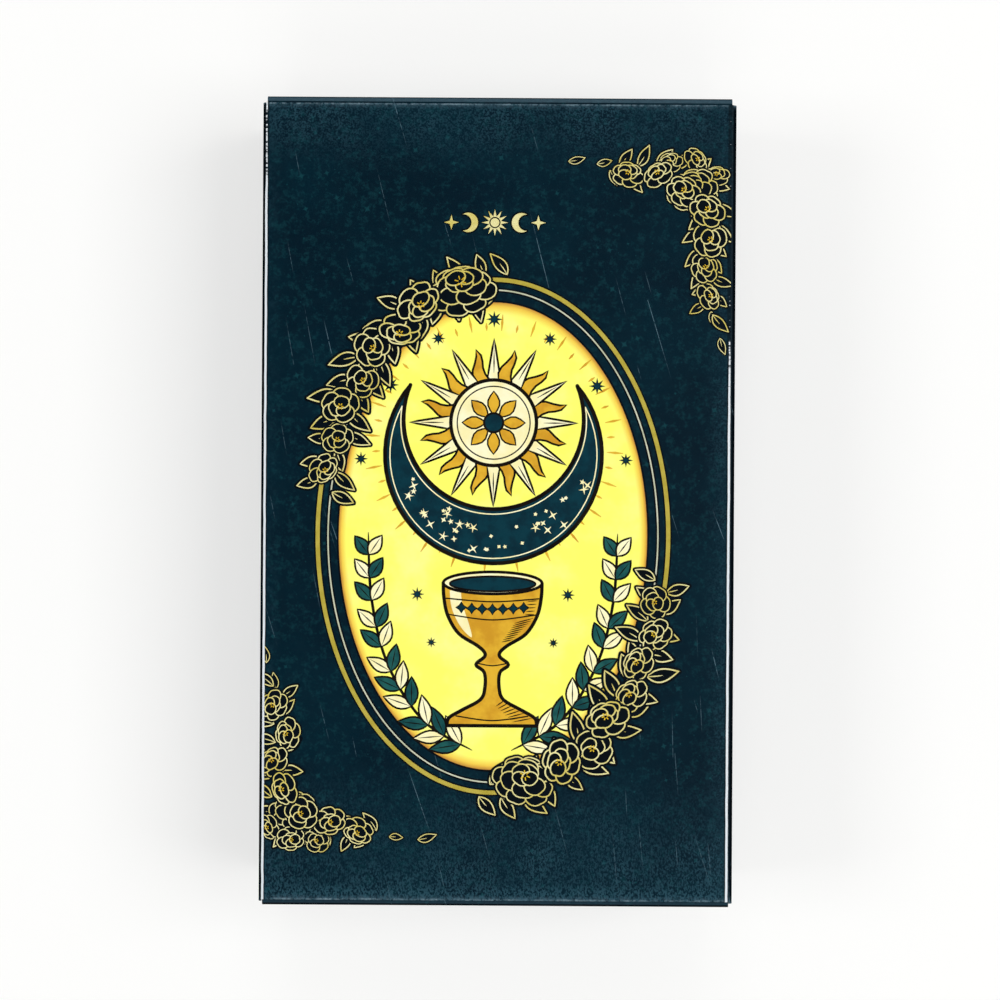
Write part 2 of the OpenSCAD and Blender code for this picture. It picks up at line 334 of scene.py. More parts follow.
def printed_board(name, raw_sides, pale=(), front=False, folds=False):
    """Laminated navy print outside, plain board inside, and white core on the cut sides in raw_sides; where
    the board bends, painted shade darkens the ink.
    A row of pale lightens the ink along an axis, as wear and in some rows as painted sheen: (axis, start,
    full, ease, end, share)."""
    material, place, normal = start_material(name)
    x, y, z = axes(place)
    flat = flattened(place, normal)
    from_middle = vector_calc("SUBTRACT", place, (0.0, 0.0, PANEL_TOP * MM / 2))
    outward = vector_calc("DOT_PRODUCT", from_middle, normal)
    outer = []
    turned_out = []
    for value, facing, half in zip(axes(from_middle), axes(normal), BOX_HALF):
        near = abs(value) > (half - OUTER_SKIN) * MM
        outer.append(near * (calc("SIGN", value) * facing > 0.25))
        turned_out.append(abs(facing))
    inside = outward < any_of(*outer) * -1.0
    # Where a board bends away from its faces, the ink gets painted shade and loses its gloss
    shaded_bend = ramp(turned_out[2] if front else any_of(*turned_out), 0.985, 0.90)
    raw = any_of(*[vector_calc("DOT_PRODUCT", normal, side) > 0.8 for side in raw_sides])

    cloud = noise(place, 70.0, 3.0)
    grain, roughness = film_grain(place)
    speckle = noise(place, 820.0, 2.5, 0.8)
    tone = mix(ramp(cloud, 0.35, 0.65), NAVY, DEEP_NAVY)
    tone = mix(ramp(speckle, 0.47, 0.72) * 0.42, tone, TEAL_SPECK)
    tone = mix(star_specks(flat) * 0.75, tone, TEAL_SPECK)

    rub = noise(place, 1100.0, 6.0, 0.8)
    clump = ramp(noise(place, 140.0, 3.0, 0.6), 0.3, 0.7, 0.4, 1.0)
    hazes_and_sheen = [ramp(abs(x), *SIDE_HAZE) * ramp(rub, 0.42, 0.66) * clump * 0.22]
    rubs_and_sheen = []
    parts = {"x": x, "y": y, "z": z}
    for axis, begin, full, ease, stop, share in pale:
        rising = ramp(parts[axis], begin * MM, full * MM)
        falling = ramp(parts[axis], stop * MM, ease * MM)
        rubs_and_sheen.append(rising * falling * ramp(rub, 0.20, 0.60, 0.72, 1.0) * share)
    if front:
        scuff = noise(place, 4000.0, 1.0, 0.6)
        smear = noise(mapped(place, 0.05, (4400.0, 2600.0, 4400.0)), 1.0, 1.0, 0.6)
        hazes_and_sheen.append(ramp(x, *RIGHT_HAZE) * ramp(scuff, 0.42, 0.62) * clump * 0.36)
        # Towards the bottom the haze is partly wear and partly painted sheen
        hazes_and_sheen.append(ramp(y, *BOTTOM_SHEEN_HAZE) * ramp(smear, 0.40, 0.64) * clump * 0.66)
        hazes_and_sheen.append(ramp(y, *LOWEST_SHEEN_HAZE) * ramp(smear, 0.38, 0.62) * 0.72)
        hazes_and_sheen.append(ramp(y, *TOP_HAZE) * ramp(scuff, 0.42, 0.62) * clump * 0.58)
        rubs_and_sheen.append(ramp(y, *TOP_RUB) * ramp(rub, 0.34, 0.64) * 0.45)
        # The bottom rub is partly wear and partly painted sheen on the crease
        rubs_and_sheen.append(ramp(y, *BOTTOM_RUB_AND_SHEEN) * ramp(rub, 0.36, 0.66) * 0.50)
    tone = mix(any_of(*hazes_and_sheen), tone, HAZE_AND_SHEEN_INK)
    # Painted shade: the bends go nearly black
    tone = mix(shaded_bend, tone, SHADE_AND_DARK_INK)
    if rubs_and_sheen:
        tone = mix(any_of(*rubs_and_sheen), tone, RUB_AND_SHEEN_INK)
    if front:
        # The top lip is worn; the bottom lip is partly wear and partly painted sheen
        lips = any_of(ramp(y, *TOP_LIP), ramp(y, *BOTTOM_LIP))
        patchy = ramp(noise(place, 330.0, 3.0, 0.7), 0.36, 0.62, 0.25, 1.0)
        tone = mix(lips * patchy * ramp(rub, 0.38, 0.64) * 0.75, tone, LIP_RUB_AND_SHEEN)

    broken = ramp(noise(flat, 1500.0, 2.0), 0.32, 0.55)
    scratches = [hair_scratches(flat, 0.30, 7.0, 22.0, 0.24, 0.013) * 0.50,
                 hair_scratches(flat, 0.24, 4.0, 13.0, 0.24, 0.041) * 0.26]
    if front:
        low_right = ramp(y, -0.010, -0.035) * ramp(x, 0.002, 0.025) * 0.30
        scratches.append(hair_scratches(flat, 0.06, 2.6, 14.0, 0.45, 0.077) * low_right)
    tone = mix(any_of(*scratches) * broken * (1.0 if front else 0.6), tone, SCRATCH)

    dust = put(place.tree, "ShaderNodeTexVoronoi", Vector=place, Scale=95.0)
    dot = ramp(out(dust, "Distance"), 0.022, 0.012) * ramp(channels(out(dust, "Color"))[0], 0.6, 0.7)
    tone = mix(dot * 0.8, tone, WHITE_CORE)

    bare_fold = 0.0
    if folds:
        wander = (noise(place, 260.0, 2.0) - 0.5) * 0.00016
        from_fold = abs(abs(x + 0.00015) + wander - WORN_FOLD)
        # Painted shade: a narrow dark band along the crease, under the white wear line laid next
        tone = mix(ramp(from_fold, 0.0005, 0.0003) * 0.6, tone, SHADE_AND_DARK_INK)
        breaks = noise(mapped(place, 0.0, (300.0, 2100.0, 300.0)), 1.0, 3.0, 0.7)
        either_side = put(place.tree, "ShaderNodeMix", Factor=x > 0.0)
        plug(ramp(y, *LEFT_FOLD_WEAR, 0.52, 0.95), either_side.inputs[2])
        plug(ramp(y, *RIGHT_FOLD_WEAR, 0.34, 0.95), either_side.inputs[3])
        worn_share = out(either_side)
        half_line = ramp(worn_share, 0.3, 0.95, 0.00012, 0.00022)
        on_fold = ramp(from_fold, half_line, half_line * 0.6)
        bare_fold = on_fold * ramp(worn_share - breaks, -0.03, 0.05)
        tone = mix(bare_fold, tone, FOLD_WHITE)

    fibre = noise(mapped(place, 0.4, (900.0, 260.0, 900.0)), 1.0, 4.0, 0.7)
    inner = mix(ramp(fibre, 0.3, 0.75), GREY_BOARD, rgb(188, 182, 168))
    core = mix(ramp(fibre, 0.35, 0.8), WHITE_CORE, rgb(214, 210, 200))
    colour = mix(raw, mix(inside, tone, inner), core)
    bare = any_of(inside, raw, bare_fold)
    roughness = calc("ADD", roughness, bare * 0.4, clamp=True)
    surface(colour, roughness, (1.0 - shaded_bend) * PRINT_GLOSS, grain + fibre * bare)
    return material


def ink(name, colour, second, patch=220.0):
    """A printed ink under the same film as the board, with a slight mottle."""
    material, place, _ = start_material(name)
    tone = mix(ramp(noise(place, patch, 3.0, 0.6), 0.35, 0.68), colour, second)
    grain, roughness = film_grain(place)
    surface(tone, roughness, PRINT_GLOSS, grain)
    return material


def field_ink(name):
    """The oval's yellow ground: it browns to orange at the rim and has faint clouds."""
    material, place, _ = start_material(name)
    x, y, _ = axes(place)
    u = (x - ART_X * MM) / (FIELD_SIZE[0] * MM)
    v = (y - OVAL_Y * MM) / (FIELD_SIZE[1] * MM)
    from_middle = calc("SQRT", calc("POWER", u, 2.0) + calc("POWER", v, 2.0))
    cloud = noise(place, 120.0, 4.0, 0.6)
    edge = from_middle + (cloud - 0.5) * 0.02
    tone = mix(ramp(cloud, 0.4, 0.75), rgb(253, 252, 108), rgb(253, 250, 146))
    tone = mix(ramp(edge, 0.945, 0.988), tone, rgb(244, 205, 78))
    tone = mix(ramp(edge, 0.978, 1.004), tone, rgb(190, 132, 60))
    grain, roughness = film_grain(place)
    surface(tone, roughness, PRINT_GLOSS, grain)
    return material


def card_stock(name):
    """White edges that differ from card to card, a patterned back upwards, a bordered face downwards."""
    material, place, normal = start_material(name)
    x, y, z = axes(place)
    _, _, up = axes(normal)
    fibre = noise(mapped(place, 0.0, (400.0, 400.0, 9000.0)), 1.0, 3.0, 0.7)
    edge = mix(by_layer(z, CARD_PITCH) * 0.7, rgb(240, 238, 231), rgb(214, 209, 197))
    edge = mix(ramp(fibre, 0.45, 0.8) * 0.4, edge, rgb(196, 190, 176))
    margin = calc("MINIMUM", CARD_HALF[0] - abs(x), CARD_HALF[1] - abs(y + DECK_SHIFT))
    lattice = []
    for turn in (0.785, -0.785):
        lines, _, _ = axes(mapped(place, turn, (170.0, 170.0, 1.0)))
        lattice.append(ramp(abs(calc("FRACT", lines) - 0.5), 0.07, 0.04))
    back = mix(any_of(*lattice) * 0.7, CARD_NAVY, rgb(190, 174, 96))
    back = mix(margin < 0.004, back, CARD_NAVY)
    back = mix(margin < 0.003, back, rgb(236, 232, 220))
    line = ramp(abs(margin - 0.004), 0.0003, 0.0002)
    face = mix(line, rgb(238, 233, 216), rgb(60, 58, 52))
    colour = mix(up < -0.6, mix(up > 0.6, edge, back), face)
    linen = noise(place, 1400.0, 2.0)
    surface(colour, ramp(linen, 0.3, 0.7, 0.45, 0.6), 0.3, linen, strength=0.15)
    return material


def booklet_paper(name, outside, inside, line_share):
    """A folded paper sheet: its outside colour up and down, its inside colour on the cut edges."""
    material, place, normal = start_material(name)
    x, y, z = axes(place)
    _, _, up = axes(normal)
    fibre = noise(place, 700.0, 5.0, 0.7)
    low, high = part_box("booklet_cover")
    from_x = calc("MINIMUM", x - low[0], high[0] - x)
    from_y = calc("MINIMUM", y - low[1], high[1] - y)
    margin = calc("MINIMUM", from_x, from_y)
    line = ramp(abs(margin - 0.005), 0.0004, 0.0003)
    face = mix(line * line_share, outside, rgb(196, 180, 104))
    face = mix(ramp(fibre, 0.4, 0.8) * 0.25, face, inside)
    edge = mix(by_layer(z, PAGE_PITCH) * 0.6, inside, rgb(205, 196, 174))
    colour = mix(abs(up) > 0.6, edge, face)
    surface(colour, ramp(fibre, 0.3, 0.7, 0.55, 0.75), 0.25, fibre)
    return material


def staple_wire(name):
    """Drawn steel wire with fine lines along it."""
    material, place, _ = start_material(name)
    drawn = noise(mapped(place, 0.0, (9000.0, 700.0, 9000.0)), 1.0, 3.0, 0.6)
    tone = mix(drawn, rgb(196, 198, 200), rgb(150, 152, 155))
    surface(tone, ramp(drawn, 0.3, 0.7, 0.25, 0.42), 0.5, drawn, metallic=1.0, depth=0.000005)
    return material


def finish_node(node_name, material):
    node = frame["nodes"][node_name]
    if not node.material_slots:
        node.data.materials.append(material)
    for slot in node.material_slots:
        slot.material = material


ENDS = [(0.0, 1.0, 0.0), (0.0, -1.0, 0.0)]
SIDES = [(1.0, 0.0, 0.0), (-1.0, 0.0, 0.0)]
FACES = [(0.0, 0.0, 1.0), (0.0, 0.0, -1.0)]

finish_node("front_panel", printed_board("front board", ENDS[:1], front=True, folds=True))
finish_node("back_panel", printed_board("back board", ENDS[1:], folds=True))
for side_name in ("left_side_panel", "right_side_panel", "glue_flap"):
    finish_node(side_name, printed_board(side_name.replace("_", " ") + " board", ENDS + FACES))
finish_node("top_lid", printed_board("top lid board", SIDES, [("z", 29.7, 30.5, 40.0, 41.0, 0.60)]))
# The tab's pale strip above the front panel is painted sheen, broken up by rubs; it stops short of the
# front panel's edge, so a thin dark line of painted shadow stays there
LID_SHEEN_RUB = [("y", 61.56, 61.72, 62.12, 62.34, 0.62)]
finish_node("top_tuck_tab", printed_board("top tab board", SIDES + ENDS[1:], LID_SHEEN_RUB))
# The bottom lid's pale row along its bead is partly wear and partly painted sheen
finish_node("bottom_lid", printed_board("bottom lid board", SIDES, [("z", 32.24, 32.36, 40.0, 41.0, 0.16)]))
finish_node("bottom_tuck_tab", printed_board("bottom tab board", SIDES + ENDS[:1]))
for end_name in ("top", "bottom"):
    for side_name, inner in (("left", SIDES[:1]), ("right", SIDES[1:])):
        flap = f"{end_name}_{side_name}_dust_flap"
        finish_node(flap, printed_board(flap.replace("_", " ") + " board", inner + FACES))

CARD_STOCK = card_stock("card stock")
for node_name in frame["nodes"]:
    if node_name.endswith(("_card", "_cards")):
        finish_node(node_name, CARD_STOCK)
finish_node("booklet_cover", booklet_paper("booklet cover", rgb(16, 62, 72), rgb(232, 226, 208), 1.0))
finish_node("booklet_pages", booklet_paper("booklet pages", rgb(240, 235, 219), rgb(238, 232, 214), 0.0))
finish_node("booklet_staples", staple_wire("staple wire"))

INKS = {
    "gold": ink("gold line ink", rgb(228, 221, 160), rgb(206, 190, 96)),
    "amber": ink("amber line ink", rgb(226, 190, 48), rgb(206, 168, 36)),
    "dark": ink("dark petal ink", SHADE_AND_DARK_INK, rgb(5, 15, 23)),
    "ring": ink("gold ring ink", rgb(186, 170, 74), rgb(172, 156, 58), 500.0),
    "cream": ink("cream line ink", rgb(206, 208, 186), rgb(184, 188, 160)),
    "field": field_ink("yellow field ink"),
    "black": ink("black line ink", rgb(14, 11, 9), rgb(26, 20, 14)),
    "pale": ink("pale cloud ink", rgb(252, 247, 205), rgb(248, 238, 176), 300.0),
    "laurel": ink("laurel ink", rgb(34, 92, 88), rgb(18, 66, 70), 400.0),
    "teal": ink("night sky ink", rgb(10, 54, 66), rgb(8, 40, 52), 500.0),
    "ochre": ink("ochre ink", rgb(226, 178, 52), rgb(205, 150, 40), 300.0),
}


# Printing: shapes are laid in order, and where they overlap the later ink shows

def is_convex(corners):
    steps = [corner - corners[index - 1] for index, corner in enumerate(corners)]
    return all(steps[index - 1].cross(step) > 1e-9 for index, step in enumerate(steps))


class Plate:
    def __init__(self):
        self.points = []
        self.faces = []
        self.inks = []

    def fill(self, ink_name, outline):
        corners = [Vector(point) for point in outline]
        if sum(corner.cross(corners[index - 1]) for index, corner in enumerate(corners)) > 0:
            corners.reverse()
        first = len(self.points)
        self.points.extend(corners)
        self.faces.append(list(range(first, first + len(outline))))
        self.inks.append(ink_name)

    def stroke(self, ink_name, path, width, closed=False, taper=0.0):
        """A line of ink along a path; taper is the share of its length that narrows at each end."""
        spots = [Vector(point) for point in path]
        count = len(spots)
        halves = []
        for index in range(count):
            share = index / (count - 1)
            narrow = min(1.0, share / taper, (1 - share) / taper) ** 0.7 if taper else 1.0
            halves.append(width / 2 * (0.22 + 0.78 * narrow))
        sides = []
        for index in range(count):
            before = spots[index - 1] if index or closed else spots[index]
            after = spots[(index + 1) % count] if index < count - 1 or closed else spots[index]
            along = (after - before).normalized()
            sides.append(Vector((-along.y, along.x)) * halves[index])
        for index in range(count if closed else count - 1):
            after = (index + 1) % count
            start, end = spots[index], spots[after]
            quad = [start - sides[index], end - sides[after], end + sides[after], start + sides[index]]
            if is_convex(quad):
                self.fill(ink_name, quad)
                continue
            along = (end - start).normalized()
            across = Vector((-along.y, along.x))
            first, last = across * halves[index], across * halves[after]
            self.fill(ink_name, [start - first, end - last, end + last, start + first])
            for spot, half in ((start, halves[index]), (end, halves[after])):
                self.fill(ink_name, oval(spot, (half, half), 10))

    def outlined(self, ink_name, outline, width, line_ink="black"):
        self.fill(ink_name, outline)
        self.stroke(line_ink, outline, width, closed=True)

    def stamp(self, other, growth, middle):
        """Lays all of another plate's shapes, grown about a fixed spot."""
        first = len(self.points)
        fixed = Vector(middle)
        self.points.extend(fixed + (point - fixed) * growth for point in other.points)
        self.faces.extend([corner + first for corner in face] for face in other.faces)
        self.inks.extend(other.inks)

    def sheets(self):
        """The ink regions that show, as flat triangles that meet along shared edges."""
        points, _, triangles, _, _, sources = geometry.delaunay_2d_cdt(self.points, [], self.faces, 0, 1e-5)
        regions = {}
        for triangle, source in zip(triangles, sources):
            if source:
                regions.setdefault(self.inks[max(source)], []).append(triangle)
        return points, {ink_name: merged(points, region) for ink_name, region in regions.items()}


def merged(points, triangles):
    """The same flat region in as few triangles as its outline needs."""
    work = bmesh.new()
    number = work.verts.layers.int.new("number")
    corners = {}
    for triangle in triangles:
        spots = [tuple(round(value, 6) for value in points[corner]) for corner in triangle]
        if len(set(spots)) < 3:
            continue
        for corner, spot in zip(triangle, spots):
            if spot not in corners:
                corners[spot] = work.verts.new((*points[corner], 0.0))
                corners[spot][number] = corner
        work.faces.new([corners[spot] for spot in spots])
    work.normal_update()
    bmesh.ops.dissolve_limit(work, angle_limit=0.01, verts=work.verts[:], edges=work.edges[:])
    bmesh.ops.triangulate(work, faces=work.faces[:])
    fewer = [[corner[number] for corner in face.verts] for face in work.faces]
    work.free()
    return fewer


def film(name, points, triangles, bottom, top, shift=(0.0, 0.0)):
    """A closed film of ink from flat triangles, in metres."""
    used = sorted({corner for triangle in triangles for corner in triangle})
    number = {corner: index for index, corner in enumerate(used)}
    flat = [(points[corner][0] + shift[0], points[corner][1] + shift[1]) for corner in used]
    vertices = [(x * MM, y * MM, top * MM) for x, y in flat]
    vertices += [(x * MM, y * MM, bottom * MM) for x, y in flat]
    count = len(flat)
    faces = []
    rim = set()
    for triangle in triangles:
        a, b, c = (number[corner] for corner in triangle)
        (ax, ay), (bx, by), (cx, cy) = flat[a], flat[b], flat[c]
        if (bx - ax) * (cy - ay) - (cx - ax) * (by - ay) < 0:
            b, c = c, b
        faces.append((a, b, c))
        faces.append((a + count, c + count, b + count))
        for edge in ((a, b), (b, c), (c, a)):
            if (edge[1], edge[0]) in rim:
                rim.remove((edge[1], edge[0]))
            else:
                rim.add(edge)
    for start, end in sorted(rim):
        faces.append((end, start, start + count, end + count))
    mesh = bpy.data.meshes.new(name)
    mesh.from_pydata(vertices, [], faces)
    mesh.validate()
    return mesh


def put_in_scene(name, data):
    made = bpy.data.objects.new(name, data)
    bpy.context.scene.collection.objects.link(made)
    return made


def piece(name, mesh, material, body="carton"):
    made = put_in_scene(name, mesh)
    mesh.materials.clear()
    mesh.materials.append(material)
    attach(made, body)
    return made


# Lines and shapes

def oval_spot(middle, size, angle):
    return (middle[0] + size[0] * math.cos(angle), middle[1] + size[1] * math.sin(angle))


def oval(middle, size, steps=72, start=0.0, sweep=TURN):
    closed = abs(sweep) >= TURN - 1e-6
    count = steps if closed else steps + 1
    return [oval_spot(middle, size, start + sweep * index / steps) for index in range(count)]


def smooth(points, steps=8):
    """A curve through all the points."""
    ends = [points[0]] + list(points) + [points[-1]]
    path = []
    for index in range(1, len(ends) - 2):
        before, start, end, after = (Vector(ends[index + offset]) for offset in (-1, 0, 1, 2))
        for step in range(steps):
            t = step / steps
            path.append(tuple(0.5 * (2 * start + (end - before) * t
                                     + (2 * before - 5 * start + 4 * end - after) * t ** 2
                                     + (3 * start - before - 3 * end + after) * t ** 3)))
    path.append(tuple(points[-1]))
    return path


def turned(points, angle, middle=(0.0, 0.0)):
    c, s = math.cos(angle), math.sin(angle)
    return [(middle[0] + c * x - s * y, middle[1] + s * x + c * y) for x, y in points]


def star(middle, reach, waist, tips, start=TURN / 4):
    sizes = ((reach, reach), (waist, waist))
    return [oval_spot(middle, sizes[index % 2], start + index * TURN / (2 * tips))
            for index in range(2 * tips)]


def crescent(middle, radius, bite_middle, bite_radius, steps=48):
    """A moon: a disc with a smaller disc bitten from its top."""
    rise = bite_middle[1] - middle[1]
    level = (rise ** 2 + radius ** 2 - bite_radius ** 2) / (2 * rise)
    outer = math.acos(level / radius)
    inner = math.acos((level - rise) / bite_radius)
    arc = oval(middle, (radius, radius), steps, TURN / 4 + outer, TURN - 2 * outer)
    back = oval(bite_middle, (bite_radius, bite_radius), steps, TURN / 4 - inner, -(TURN - 2 * inner))
    return arc + back[1:-1]


# Flowers and leaves of the corner sprays and of the oval's garlands

# Line weight, dark margins and radii, in millimetres
LINE = 0.19
PETAL_MARGIN = 0.75
LEAF_MARGIN = 0.7
FLOWER_RADIUS = 2.9
GREAT_RADIUS = 4.7


def lobe(angle, distance, length, width, notch):
    """A round petal set off from the flower's middle, with a notch in its outer edge."""
    outline = []
    for index in range(20):
        t = TURN * index / 20
        t_near = t if t < math.pi else t - TURN
        reach = distance + length * math.cos(t) * (1 - notch * math.exp(-(t_near / 0.42) ** 2))
        outline.append((reach, width * math.sin(t)))
    return turned(outline, angle)


def bloom(radius, seed, lean, rings):
    """A many-petalled flower in gold line on dark petals; lean shows it from a little to the side."""
    draw = random.Random(seed)
    plate = Plate()
    petals = []
    for ring, (count, distance, length, width) in enumerate(rings):
        first = draw.uniform(0, TURN)
        rise = lean * radius * ring * 0.16
        for number in range(count):
            angle = first + TURN * number / count + draw.uniform(-0.12, 0.12)
            grown = radius * draw.uniform(0.93, 1.06)
            outline = lobe(angle, distance * grown, length * grown, width * grown, draw.uniform(0.05, 0.16))
            petals.append((ring, [(x, y * (1 - 0.3 * lean) + rise) for x, y in outline]))
    for ring, outline in petals:
        if ring == 0:
            plate.stroke("dark", outline, PETAL_MARGIN, closed=True)
    for _, outline in petals:
        plate.outlined("dark", outline, LINE, "gold")
    heart = (0.0, lean * radius * (len(rings) - 1) * 0.16)
    for number in range(6):
        tick = [(share * radius, 0.0) for share in (0.06, 0.11, 0.17)]
        plate.stroke("amber", turned(tick, TURN * number / 6 + seed, heart), LINE * 0.8)
    return plate


def leaf(length, width, bend):
    """A pointed leaf along x from its stalk, with half a midrib."""
    plate = Plate()

    def spot(along, across):
        bulge = across * width / 2 * math.sin(math.pi * along ** 0.85)
        return (length * along, bend * length * along ** 2 + bulge)

    outline = [spot(index / 12, 1) for index in range(13)]
    outline += [spot(index / 12, -1) for index in range(11, 0, -1)]
    plate.stroke("dark", outline, LEAF_MARGIN, closed=True)
    plate.outlined("dark", outline, LINE * 0.9, "gold")
    plate.stroke("gold", [spot(index / 10, 0) for index in range(0, 6)], LINE * 0.7, taper=0.3)
    return plate


OPEN = [(6, 0.58, 0.42, 0.43), (4, 0.27, 0.36, 0.38)]
CUPPED = [(5, 0.55, 0.45, 0.50), (3, 0.26, 0.36, 0.42)]
GREAT = [(8, 0.68, 0.32, 0.34), (6, 0.43, 0.33, 0.35), (4, 0.20, 0.26, 0.29)]
FLOWER_PLATES = [bloom(FLOWER_RADIUS, *kind)
                 for kind in ((3, 0.5, OPEN), (8, 1.0, CUPPED), (5, 0.8, OPEN), (11, 0.3, CUPPED))]
GREAT_PLATES = [bloom(GREAT_RADIUS, *kind) for kind in ((4, 0.6, GREAT), (9, 0.9, GREAT))]
LEAF_PLATES = [leaf(3.2, 1.45, 0.10), leaf(2.8, 1.35, -0.14), leaf(3.6, 1.5, 0.18)]


def motif_collections(name, plates):
    """The inks of each motif, in one collection for each ink and all in the same order."""
    kit = {shade: bpy.data.collections.new(f"{name}_{shade}") for shade in ("dark", "gold", "amber")}
    for index, plate in enumerate(plates):
        points, regions = plate.sheets()
        for shade, collection in kit.items():
            mesh = film(f"{name}_{index}_{shade}", points, regions.get(shade, []), 0.0, INK_FILM)
            collection.objects.link(bpy.data.objects.new(mesh.name, mesh))
    return kit


FLOWERS = motif_collections("flower", FLOWER_PLATES)
GREAT_FLOWERS = motif_collections("great_flower", GREAT_PLATES)
LEAVES = motif_collections("leaf", LEAF_PLATES)

# How much higher each motif lies than the one before it on its path, in metres
LAYER_STEP = 0.0000006


def graft_tree():
    """Geometry nodes that set motifs along a path: they swell at its peak, lie higher the larger they are,
    and either turn freely or splay to both sides of the path."""
    tree = bpy.data.node_groups.new("motifs along a path", "GeometryNodeTree")
    face = tree.interface
    face.new_socket("Path", in_out="INPUT", socket_type="NodeSocketGeometry")
    kinds = (("Motifs", "Collection"), ("Kinds", "Int"), ("Count", "Int"), ("End Size", "Float"),
             ("Peak Size", "Float"), ("Peak Place", "Float"), ("Peak Width", "Float"), ("Wander", "Float"),
             ("Splay", "Float"), ("Free Turn", "Float"), ("Lift", "Float"), ("Seed", "Int"),
             ("Ink", "Material"))
    for label, kind in kinds:
        face.new_socket(label, in_out="INPUT", socket_type="NodeSocket" + kind)
    face.new_socket("Print", in_out="OUTPUT", socket_type="NodeSocketGeometry")
    inputs = put(tree, "NodeGroupInput")

    def given(label):
        return out(inputs, label)

    def chance(low, high, salt):
        made = put(tree, "FunctionNodeRandomValue", {"data_type": "FLOAT"})
        plug(low, made.inputs[2])
        plug(high, made.inputs[3])
        plug(given("Seed") + salt, made.inputs["Seed"])
        return out(made, 1)

    path = put(tree, "GeometryNodeResampleCurve", Curve=given("Path"), Count=given("Count"))
    along = out(put(tree, "GeometryNodeSplineParameter"), "Factor")
    index = out(put(tree, "GeometryNodeInputIndex"))
    off_peak = (along - given("Peak Place")) / given("Peak Width")
    bell = calc("EXPONENT", off_peak * off_peak * -1.0)
    swell = (given("Peak Size") - given("End Size")) * bell
    size = (given("End Size") + swell) * chance(0.92, 1.08, 1.0)
    run_x, run_y, _ = axes(out(put(tree, "GeometryNodeInputTangent")))
    heading = calc("ARCTAN2", run_y, run_x)
    side = calc("MODULO", index, 2.0) * 2.0 - 1.0
    splay = side * given("Splay") * chance(0.7, 1.25, 2.0)
    turn = heading + splay + given("Free Turn") * chance(-1.0, 1.0, 3.0)
    sway = side * given("Wander") * chance(0.3, 1.0, 4.0)
    shift = put(tree, "ShaderNodeCombineXYZ", X=run_y * -1.0 * sway, Y=run_x * sway,
                Z=size * given("Lift") + index * LAYER_STEP)
    held = put(tree, "GeometryNodeCaptureAttribute", {"domain": "POINT"}, Geometry=out(path))
    captured = (("size", size, "FLOAT"), ("turn", turn, "FLOAT"), ("shift", out(shift), "VECTOR"))
    for label, value, kind in captured:
        held.capture_items.new(kind, label)
        plug(value, held.inputs[label])
    spots = put(tree, "GeometryNodeCurveToPoints", {"mode": "EVALUATED"}, Curve=out(held, "Geometry"))
    moved = put(tree, "GeometryNodeSetPosition", Geometry=out(spots, "Points"), Offset=out(held, "shift"))
    kit = put(tree, "GeometryNodeCollectionInfo", Collection=given("Motifs"), Separate_Children=True,
              Reset_Children=True)
    choice = calc("FLOOR", chance(0.0, 0.999, 5.0) * given("Kinds"))
    turning = put(tree, "ShaderNodeCombineXYZ", Z=out(held, "turn"))
    placed = put(tree, "GeometryNodeInstanceOnPoints", Points=out(moved), Instance=out(kit),
                 Pick_Instance=True, Instance_Index=choice, Rotation=out(turning), Scale=out(held, "size"))
    whole = put(tree, "GeometryNodeRealizeInstances", Geometry=out(placed))
    inked = put(tree, "GeometryNodeSetMaterial", Geometry=out(whole), Material=given("Ink"))
    end = put(tree, "NodeGroupOutput")
    plug(out(inked), end.inputs[0])
    return tree


GRAFT = graft_tree()


def path_object(routes, height):
    curve = bpy.data.curves.new("path", "CURVE")
    curve.dimensions = "3D"
    for route in routes:
        spline = curve.splines.new("POLY")
        spline.points.add(len(route) - 1)
        for spot, (x, y) in zip(spline.points, route):
            spot.co = (x * MM, y * MM, height * MM, 1.0)
    return put_in_scene("path", curve)


def grafted(routes, height, motifs, material, **sizes):
    """The motifs of one ink along the routes, as a plain mesh."""
    carrier = path_object(routes, height)
    grow = carrier.modifiers.new("motifs", "NODES")
    grow.node_group = GRAFT
    items = GRAFT.interface.items_tree
    sockets = {item.name: item.identifier for item in items if item.in_out == "INPUT"}
    grow[sockets["Motifs"]] = motifs
    grow[sockets["Kinds"]] = len(motifs.objects)
    grow[sockets["Ink"]] = material
    for label, value in sizes.items():
        grow[sockets[label.replace("_", " ")]] = value
    evaluated = carrier.evaluated_get(bpy.context.evaluated_depsgraph_get())
    mesh = bpy.data.meshes.new_from_object(evaluated)
    carrier.modifiers.clear()
    curve = carrier.data
    bpy.data.objects.remove(carrier)
    bpy.data.curves.remove(curve)
    return mesh


def trimmed(mesh, limit):
    """Cuts a print off along both long folds and closes the cut films."""
    work = bmesh.new()
    work.from_mesh(mesh)
    for side in (-1, 1):
        whole = work.verts[:] + work.edges[:] + work.faces[:]
        bmesh.ops.bisect_plane(work, geom=whole, plane_co=(side * limit * MM, 0.0, 0.0),
                               plane_no=(side, 0.0, 0.0), clear_outer=True)
        open_edges = [edge for edge in work.edges if edge.is_boundary]
        bmesh.ops.holes_fill(work, edges=open_edges, sides=0)
    work.to_mesh(mesh)
    work.free()
    return mesh


def joined(name, meshes):
    work = bmesh.new()
    for mesh in meshes:
        work.from_mesh(mesh)
    made = bpy.data.meshes.new(name)
    work.to_mesh(made)
    work.free()
    return made


def opposite(route, middle_y=ART_Y):
    """The same route turned half round the middle of the art, or of what is at another height."""
    return [(2 * ART_X - x, 2 * middle_y - y) for x, y in route]


def ring_run(start, end, size=(26.6, 39.1)):
    """A route along the oval's gold ring between two bearings in degrees."""
    return oval((ART_X, OVAL_Y), size, 60, math.radians(start), math.radians(end - start))


